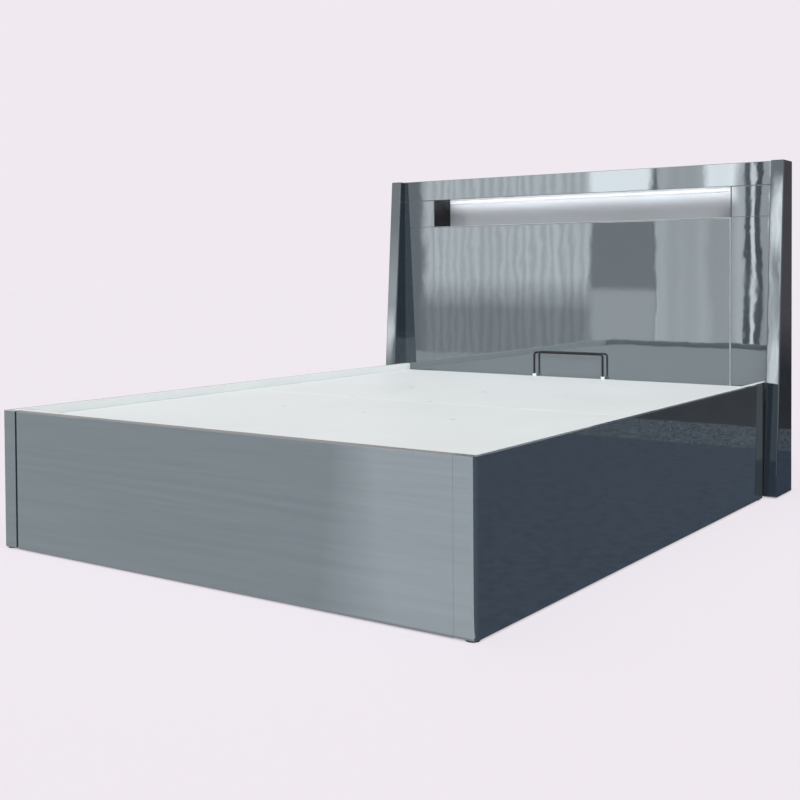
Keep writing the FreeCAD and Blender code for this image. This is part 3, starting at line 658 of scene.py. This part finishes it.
class BED_OT_line_niche(bpy.types.Operator):
    """Lining of the headboard's niche and its light strip"""
    bl_idname = "bed.line_niche"
    bl_label = "Line niche"

    def execute(self, context):
        look = context.scene.bed_finishes
        lining = lacquer("niche_lacquer", look.niche, look.sheen, rough=(0.10, 0.16), ior=LINING_GLOSS)
        coat(lining, "niche_back", "niche_shelf", "niche_ceiling")
        coat(acrylic("niche_black_acrylic", look.acrylic, look.lacquer), "niche_end_left", "niche_end_right")
        drawn = plated(
            "anodised_profile", look.anodised, rough=(0.28, 0.40), along=(1.0, 60.0, 60.0), spangle=900.0)
        coat(drawn, "led_profile")
        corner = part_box("led_diffuser")[1]
        coat(lit_cover("opal_cover", corner, look.light_power, look.light_haze), "led_diffuser")
        return {"FINISHED"}


class BED_OT_coat_metal(bpy.types.Operator):
    """Powder coat, zinc and chrome on the lift linkage, frame and hoop, and the plastic trim"""
    bl_idname = "bed.coat_metal"
    bl_label = "Coat metalwork"

    def execute(self, context):
        look = context.scene.bed_finishes
        black = powder_coat("black_powder_coat", look.powder)
        coat(black, "deck_frame_sides", "deck_frame_cross", "deck_bracket_left", "deck_bracket_right",
             "lift_arm_left", "lift_arm_right", "guide_arm_left", "guide_arm_right", "base_plate_left",
             "base_plate_right", "strut_cylinder_left", "strut_cylinder_right", "mattress_hoop")
        zinc = plated("bright_zinc", look.zinc, rough=(0.22, 0.38))
        coat(zinc, "corner_brackets", "base_pins", "deck_pins")
        chrome = plated("chrome_rod", look.chrome, rough=(0.05, 0.12), along=(30.0, 2.0, 2.0), spangle=1500.0)
        coat(chrome, "strut_rod_left", "strut_rod_right")
        coat(moulded("black_trim", look.trim, rough=(0.45, 0.65)), "shadow_strips", "glides")
        coat(moulded("white_socket", look.socket, rough=(0.32, 0.46)), "hoop_sockets")
        return {"FINISHED"}


class BED_OT_drive_screws(bpy.types.Operator):
    """Pan-head screws in the back panel, brackets and base plates"""
    bl_idname = "bed.drive_screws"
    bl_label = "Drive screws"

    def execute(self, context):
        sizes = context.scene.bed_fasteners
        made = [turned_piece(s) for s in solids_of("screws")]
        tree = fastener_tree("Pan-head screws", "dome", "cross", bpy.data.materials["bright_zinc"])
        piece = grown("pan_head_screws", tree, [m["end"] for m in made], [], {
            "Head radius": made[0]["radius"], "Head height": sizes.screw_height,
            "Recess width": sizes.screw_recess, "Recess depth": sizes.screw_depth,
            "Shank radius": sizes.screw_shank, "Shank length": sizes.screw_length,
            "Turn seed": sizes.turn_seed}, [m["way"] for m in made])
        fit(piece, "bed_base", "screws")
        return {"FINISHED"}


class BED_OT_set_deck_bolts(bpy.types.Operator):
    """Flat socket bolts let into the deck boards"""
    bl_idname = "bed.set_deck_bolts"
    bl_label = "Set deck bolts"

    def execute(self, context):
        sizes = context.scene.bed_fasteners
        made = [turned_piece(s, long_axis=2) for s in solids_of("deck_bolts")]
        tree = fastener_tree("Deck bolts", "flat", "hex", bpy.data.materials["bright_zinc"], sides=32)
        piece = grown("deck_socket_bolts", tree, [m["end"] for m in made], [], {
            "Head radius": made[0]["radius"], "Head height": sizes.deck_height,
            "Recess width": sizes.socket_width, "Recess depth": sizes.socket_depth,
            "Shank radius": sizes.deck_shank, "Shank length": made[0]["length"] - sizes.deck_height,
            "Turn seed": sizes.turn_seed}, [m["way"] for m in made])
        fit(piece, "deck", "deck_bolts")
        return {"FINISHED"}


class BED_OT_set_head_bolts(bpy.types.Operator):
    """Hexagon bolts between the box and the headboard"""
    bl_idname = "bed.set_head_bolts"
    bl_label = "Set headboard bolts"

    def execute(self, context):
        sizes = context.scene.bed_fasteners
        made = [box_of(s) for s in solids_of("head_bolts")]
        near = [Vector(((a.x + b.x) / 2, a.y, (a.z + b.z) / 2)) for a, b in made]
        long = made[0][1].y - made[0][0].y
        tree = fastener_tree("Hexagon bolts", "hex", None, bpy.data.materials["bright_zinc"])
        piece = grown("headboard_bolts", tree, near, [], {
            "Head radius": sizes.hex_radius, "Head height": sizes.hex_height,
            "Shank radius": sizes.hex_shank, "Shank length": long - sizes.hex_height,
            "Turn seed": sizes.turn_seed}, [Vector((0, -1, 0))] * len(near))
        fit(piece, "bed_base", "head_bolts")
        return {"FINISHED"}


class BED_OT_peen_pins(bpy.types.Operator):
    """Peened domes on the pivot pins of the lift linkage"""
    bl_idname = "bed.peen_pins"
    bl_label = "Peen pivot pins"

    def execute(self, context):
        sizes = context.scene.bed_fasteners
        tree = fastener_tree("Peened pins", "dome", None, bpy.data.materials["bright_zinc"], sides=24)
        for node, body in (("base_pins", "bed_base"), ("deck_pins", "deck")):
            places, ways = [], []
            for solid in solids_of(node):
                low, high = box_of(solid)
                middle = (low + high) / 2
                inward = -1.0 if low.x > 0 else 1.0
                end = low.x if inward < 0 else high.x
                places.append(Vector((end + inward * sizes.rivet_rise, middle.y, middle.z)))
                ways.append(Vector((inward, 0, 0)))
            piece = grown("peened_" + node, tree, places, [], {
                "Head radius": sizes.rivet_radius, "Head height": sizes.rivet_rise,
                "Shank radius": sizes.rivet_root, "Shank length": sizes.rivet_depth,
                "Turn seed": sizes.turn_seed}, ways)
            fit(piece, body)
        return {"FINISHED"}


class BED_OT_weld_frame(bpy.types.Operator):
    """Weld beads where the cross tubes meet the side tubes of the lift frame"""
    bl_idname = "bed.weld_frame"
    bl_label = "Weld lift frame"

    def execute(self, context):
        sizes = context.scene.bed_fasteners
        points, edges = [], []

        def seam(*ends):
            edges.append((len(points), len(points) + 1))
            points.extend(Vector(end) for end in ends)

        for solid in solids_of("deck_frame_cross"):
            low, high = box_of(solid)
            bottom = low.z + sizes.weld_radius * SEAM_LOW
            top = high.z - sizes.weld_radius * SEAM_HIGH
            for x in (low.x, high.x):
                for y in (low.y, high.y):
                    seam((x, y, bottom), (x, y, top))
                seam((x, low.y, low.z), (x, high.y, low.z))
        tree = weld_tree("Weld beads", bpy.data.materials["black_powder_coat"])
        piece = grown("weld_beads", tree, points, edges, {
            "Bead radius": sizes.weld_radius, "Bead pitch": sizes.weld_radius, "Bead seed": sizes.turn_seed})
        fit(piece, "deck")
        return {"FINISHED"}


class BED_OT_set_stage(bpy.types.Operator):
    """Floor, backdrop, lights, reflection cards and camera"""
    bl_idname = "bed.set_stage"
    bl_label = "Set stage"

    def execute(self, context):
        studio = context.scene.bed_studio
        context.scene.view_settings.view_transform = "Standard"
        lay_floor(studio)
        hang_world(context.scene, studio)
        hang_lights(studio)
        stand_cards()
        aim_camera(context.scene, studio)
        return {"FINISHED"}


def sees_background(g):
    """1 for rays that show the background: from the camera, a gloss or glass"""
    path = g.add("ShaderNodeLightPath").outputs
    shown = g.calc("MAXIMUM", path["Is Camera Ray"], path["Is Glossy Ray"])
    return g.calc("MAXIMUM", shown, path["Is Transmission Ray"])


def stage_sheet(name, corners, material):
    """Flat sheet of the stage, which isn't part of the bed"""
    mesh = bpy.data.meshes.new(name)
    mesh.from_pydata(corners, [], [tuple(range(len(corners)))])
    mesh.materials.append(material)
    sheet = bpy.data.objects.new(name, mesh)
    bpy.context.scene.collection.objects.link(sheet)
    return sheet


def flat(z, x0, x1, y0, y1):
    """Corners of a level sheet"""
    return [(x0, y0, z), (x1, y0, z), (x1, y1, z), (x0, y1, z)]


def upright(y, x0, x1, z0, z1):
    """Corners of an upright sheet that runs across the bed"""
    return [(x0, y, z0), (x0, y, z1), (x1, y, z1), (x1, y, z0)]


def lay_floor(studio):
    """Pale floor that keeps the bed's shadow, as bright as the backdrop where it is lit"""
    material = bpy.data.materials.new("studio_floor")
    material.use_nodes = True
    g = Tree(material.node_tree)
    g.tree.nodes.clear()
    paint = g.add("ShaderNodeBsdfDiffuse", {
        "Color": shade(studio.backdrop, FLOOR_SHARE * (1.0 - studio.floor_lift))})
    strength = g.calc("MULTIPLY", sees_background(g), studio.floor_lift)
    glow = g.add("ShaderNodeEmission", {"Color": shade(studio.backdrop), "Strength": strength})
    both = g.add("ShaderNodeAddShader", {0: paint.outputs[0], 1: glow.outputs[0]})
    g.add("ShaderNodeOutputMaterial", {"Surface": both.outputs[0]})
    stage_sheet("studio_floor", flat(0, -FLOOR_REACH, FLOOR_REACH, -FLOOR_REACH, FLOOR_REACH), material)


def hang_world(scene, studio):
    """Soft light that grows towards overhead, behind a plain backdrop"""
    world = bpy.data.worlds.new("studio_world")
    world.use_nodes = True
    scene.world = world
    g = Tree(world.node_tree)
    g.tree.nodes.clear()
    way = g.add("ShaderNodeTexCoord").outputs["Generated"]
    up = g.add("ShaderNodeSeparateXYZ", {"Vector": way}).outputs["Z"]
    steep = g.calc("POWER", g.calc("MAXIMUM", up, 0.0), 2.0)
    level = g.add("ShaderNodeMapRange", {
        "Value": steep, "To Min": studio.sky_low, "To Max": studio.sky_high}).outputs["Result"]
    light = g.add("ShaderNodeBackground", {"Color": SKY_TINT, "Strength": level})
    shown = g.add("ShaderNodeBackground", {"Color": shade(studio.backdrop), "Strength": 1.0})
    mix = g.add("ShaderNodeMixShader", {0: sees_background(g), 1: light.outputs[0], 2: shown.outputs[0]})
    g.add("ShaderNodeOutputWorld", {"Surface": mix.outputs[0]})


def hang_lights(studio):
    """Soft key light from the front right, and the light strip's glow in the niche"""
    sun = bpy.data.lights.new("key_light", "SUN")
    sun.energy = studio.sun_power
    sun.angle = studio.sun_spread
    hang(sun, KEY_PLACE, studio.sun_back)
    line = bpy.data.lights.new("niche_light", "AREA")
    line.shape = "RECTANGLE"
    low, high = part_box("led_diffuser")
    line.size, line.size_y = high.x - low.x, LAMP_HEIGHT
    line.energy = studio.niche_power
    lamp = hang(line, (0.0, low.y - LAMP_AHEAD, high.z - LAMP_BELOW), LAMP_BACK)
    lamp.visible_camera = False
    lamp.visible_glossy = False


def hang(light, place, back):
    """Hangs a lamp at a place, with its back the given way"""
    lamp = bpy.data.objects.new(light.name, light)
    lamp.location = place
    lamp.rotation_mode = "QUATERNION"
    lamp.rotation_quaternion = Vector(back).to_track_quat("Z", "Y")
    bpy.context.scene.collection.objects.link(lamp)
    return lamp


def card(name, corners, level, tint):
    """Card that only reflections see, with a brightness that the function level works out from its place"""
    f = Finish(name)
    f.put({
        "Base Color": (0.0, 0.0, 0.0, 1.0), "Specular IOR Level": 0.0, "Emission Color": tint + (1.0,),
        "Emission Strength": level(f)})
    sheet = stage_sheet(name, corners, f.material)
    sheet.visible_camera = False
    sheet.visible_diffuse = False
    sheet.visible_shadow = False
    sheet.visible_transmission = False
    sheet.visible_volume_scatter = False


def patch(f, value, start, end, soft):
    """1 between start and end, with soft edges"""
    rise = f.spread(value, 0.0, 1.0, start - soft, start + soft)
    fall = f.spread(value, 1.0, 0.0, end - soft, end + soft)
    return f.calc("MULTIPLY", rise, fall)


def mirrored_wall(f):
    """Soft folds on the left, a dark field beside them, and lighter upright bands on the right"""
    across, up = f.axis("X"), f.axis("Z")

    def area(level, x, z=WHOLE_HEIGHT, soft_x=0.03, soft_z=0.03):
        mask = f.calc("MULTIPLY", patch(f, across, *x, soft_x), patch(f, up, *z, soft_z))
        return f.calc("MULTIPLY", mask, level)

    pleats = f.add("ShaderNodeTexWave", {
        "Vector": f.stretched((1.0, 0.0, 0.02)), "Scale": 3.3, "Distortion": 5.0, "Detail": 2.0,
        "Detail Scale": 0.9}, bands_direction="X").outputs["Fac"]
    drape = f.noise(1.0, rough=0.6, place=f.stretched((5.0, 1.0, 0.03)))
    folds = f.calc("ADD", f.calc("MULTIPLY", pleats, 0.45), f.calc("MULTIPLY", drape, 0.55))
    bands = f.noise(1.0, detail=1.0, place=f.stretched((4.4, 1.0, 0.02)))
    streaks = f.noise(1.0, detail=3.0, rough=0.6, place=f.stretched((22.0, 1.0, 1.2)))
    floor, top = WHOLE_HEIGHT
    fold, field, side = (FOLDS_X, FIELD_X), (FIELD_X, BANDS_X), (SIDE_X, END_X)
    shine, glint, stripe = (-4.95, -4.65), (-1.5, -1.24), (-1.118, -1.085)
    beside_stripe, shadow = ((-1.168, -1.122), (-1.08, -1.032)), (2.65, 3.5)
    bright = (
        # What the headboard's left part mirrors: folds, dimmer below, and a dim edge
        area(f.spread(folds, 0.80, 1.22, 0.2, 0.8), fold, (0.58, top), 0.02, 0.15),
        area(f.spread(folds, 0.52, 0.76, 0.2, 0.8), fold),
        area(0.43, (LEFT_X, FOLDS_X), soft_x=0.02),
        # What the left pillar's front mirrors, with two shines
        area(1.4, (FAR_LEFT_X, LEFT_X), soft_x=0.02),
        area(1.2, shine, (0.74, 1.75), 0.02, 0.35),
        area(2.6, shine, (0.78, 1.10), 0.02, 0.12),
        # The dark field, with lighter areas under and over it
        area(0.56, field, (0.62, 1.36)),
        area(1.18, field, (floor, 0.62)),
        area(3.45, (FIELD_X, -1.99), (1.42, top)),
        # The bands, with a glint above and a bright stripe between two dark ones
        area(f.spread(bands, 0.98, 1.66, 0.35, 0.65), (BANDS_X, SIDE_X), soft_x=0.012),
        area(2.2, glint, (1.38, top), 0.03, 0.05),
        area(1.4, stripe, soft_x=0.006),
        # What the right pillar's front mirrors: streaks, dim at the top, brighter below that and low down
        area(f.spread(streaks, 1.0, 4.4, 0.35, 0.65), side, (floor, 2.3), 0.012, 0.06),
        area(1.2, side, (2.3, top), 0.012, 0.06),
        area(2.2, side, (1.75, 2.27), 0.012, 0.12),
        area(1.2, side, (floor, 1.02), 0.012, 0.10),
        # What shows in other views
        area(f.spread(bands, 0.6, 1.0, 0.35, 0.65), (END_X, FAR_RIGHT_X), soft_x=0.012))
    dark = (
        *(area(1.5, x, soft_x=0.004) for x in beside_stripe),
        # What the left pillar's inner side mirrors by way of the headboard
        area(1.5, shadow, (floor, 2.2), 0.06))
    level = bright[0]
    for part in bright[1:]:
        level = f.calc("ADD", level, part)
    for part in dark:
        level = f.calc("SUBTRACT", level, part)
    return f.calc("MAXIMUM", level, LEAST_LIGHT)


def lit_floor(f):
    """Pale floor before the foot, lighter on the right of a slanting line"""
    across = f.calc("MULTIPLY", f.axis("X"), SLANT_ACROSS)
    slope = f.calc("SUBTRACT", across, f.calc("MULTIPLY", f.axis("Y"), SLANT_ALONG))
    streak = f.noise(1.0, detail=3.0, rough=0.6, place=f.stretched((1.2, 14.0, 1.0)))
    return f.calc("MULTIPLY", f.spread(slope, 0.91, 1.39, 0.94, 1.12), f.spread(streak, 0.93, 1.07))


def dark_wall(f):
    """Dark by the floor and lighter where the pillar mirrors it"""
    mottle = f.spread(f.noise(5.0, detail=3.0), 0.03, 0.06)
    return f.calc("ADD", mottle, f.spread(f.axis("Z"), 0.0, 0.12, 0.35, 0.6))


def dark_skirting(f):
    """Speckled strip at the foot of the dark wall"""
    return f.spread(f.noise(260.0, rough=0.7), 0.02, 0.43, 0.40, 0.64)


def dark_floor(f):
    """Dark, mottled floor along the right side and before it"""
    return f.spread(f.noise(24.0, detail=5.0, rough=0.7), 0.095, 0.205)


def stand_cards():
    """Reflection cards: a bright wall before the foot, a pale floor, and dark cards on the right"""
    white, pale, brown = (0.98, 0.99, 1.0), (0.94, 0.98, 1.0), (1.0, 0.85, 0.86)
    slate, blue = (0.72, 0.85, 1.0), (0.51, 0.69, 1.0)
    near, low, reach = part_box("foot_panel")[0].y - FOOT_GAP, CARD_HEIGHT, CARD_REACH
    card("window_wall", upright(WALL_Y, FAR_LEFT_X, reach, 0.0, WALL_TOP), mirrored_wall, white)
    card("lit_floor", flat(low, *LIT_FLOOR_X, WALL_Y, near), lit_floor, pale)
    edge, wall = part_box("side_rail_right")[1].x + RAIL_GAP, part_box("head_back_panel")[1].y + REAR_GAP
    card("dark_wall", upright(wall, edge, reach, 0.0, DARK_WALL_TOP), dark_wall, brown)
    card("dark_skirting", upright(wall - SKIRTING_GAP, edge, reach, 0.0, SKIRTING_TOP), dark_skirting, slate)
    card("dark_floor", flat(low, edge, reach, near, wall), dark_floor, blue)
    seam = near + FRONT_OVERLAP
    corner = [(edge + FRONT_NEAR, seam), (reach, seam), (reach, WALL_Y), (edge + FRONT_FAR, WALL_Y)]
    card("dark_floor_front", [(x, y, low + FRONT_LIFT) for x, y in reversed(corner)], dark_floor, blue)


def aim_camera(scene, studio):
    """Camera at the photograph's angle, upright but for its small pitch and roll"""
    camera = bpy.data.cameras.new("camera")
    camera.sensor_fit = "HORIZONTAL"
    camera.sensor_width = SENSOR_WIDTH
    camera.lens = studio.camera_lens
    camera.shift_x, camera.shift_y = studio.camera_shift
    camera.clip_end = VIEW_REACH
    yaw, pitch, roll = studio.camera_yaw, studio.camera_pitch, studio.camera_roll
    ahead = Vector((-math.sin(yaw) * math.cos(pitch), math.cos(yaw) * math.cos(pitch), -math.sin(pitch)))
    right = Vector((math.cos(yaw), math.sin(yaw), 0.0))
    up = right.cross(ahead)
    right, up = (
        right * math.cos(roll) + up * math.sin(roll), up * math.cos(roll) - right * math.sin(roll))
    place = Matrix((right, up, -ahead)).transposed().to_4x4()
    place.translation = studio.camera_place
    holder = bpy.data.objects.new("camera", camera)
    holder.matrix_world = place
    scene.collection.objects.link(holder)
    scene.camera = holder


OPERATORS = (
    BED_OT_lacquer_panels, BED_OT_face_boards, BED_OT_plane_timber, BED_OT_line_niche, BED_OT_coat_metal,
    BED_OT_drive_screws, BED_OT_set_deck_bolts, BED_OT_set_head_bolts, BED_OT_peen_pins, BED_OT_weld_frame,
    BED_OT_set_stage)
GROUPS = {"bed_finishes": BedFinishes, "bed_fasteners": BedFasteners, "bed_studio": BedStudio}


class VIEW3D_PT_bed(bpy.types.Panel):
    """Dressing of the bed, piece by piece"""
    bl_idname = "VIEW3D_PT_bed"
    bl_label = "Ottoman bed"
    bl_space_type = "VIEW_3D"
    bl_region_type = "UI"
    bl_category = "Bed"

    def draw(self, context):
        for kind in OPERATORS:
            self.layout.operator(kind.bl_idname)
        for name, group in GROUPS.items():
            box = self.layout.box()
            for field in group.__annotations__:
                box.prop(getattr(context.scene, name), field)


def register():
    for kind in (*GROUPS.values(), *OPERATORS, VIEW3D_PT_bed):
        bpy.utils.register_class(kind)
    for name, group in GROUPS.items():
        setattr(bpy.types.Scene, name, PointerProperty(type=group))


def unregister():
    for name in GROUPS:
        delattr(bpy.types.Scene, name)
    for kind in reversed((*GROUPS.values(), *OPERATORS, VIEW3D_PT_bed)):
        bpy.utils.unregister_class(kind)


def main():
    register()
    bpy.ops.bed.lacquer_panels()
    bpy.ops.bed.face_boards()
    bpy.ops.bed.plane_timber()
    bpy.ops.bed.line_niche()
    bpy.ops.bed.coat_metal()
    bpy.ops.bed.drive_screws()
    bpy.ops.bed.set_deck_bolts()
    bpy.ops.bed.set_head_bolts()
    bpy.ops.bed.peen_pins()
    bpy.ops.bed.weld_frame()
    bpy.ops.bed.set_stage()


if __name__ == "__main__":
    main()
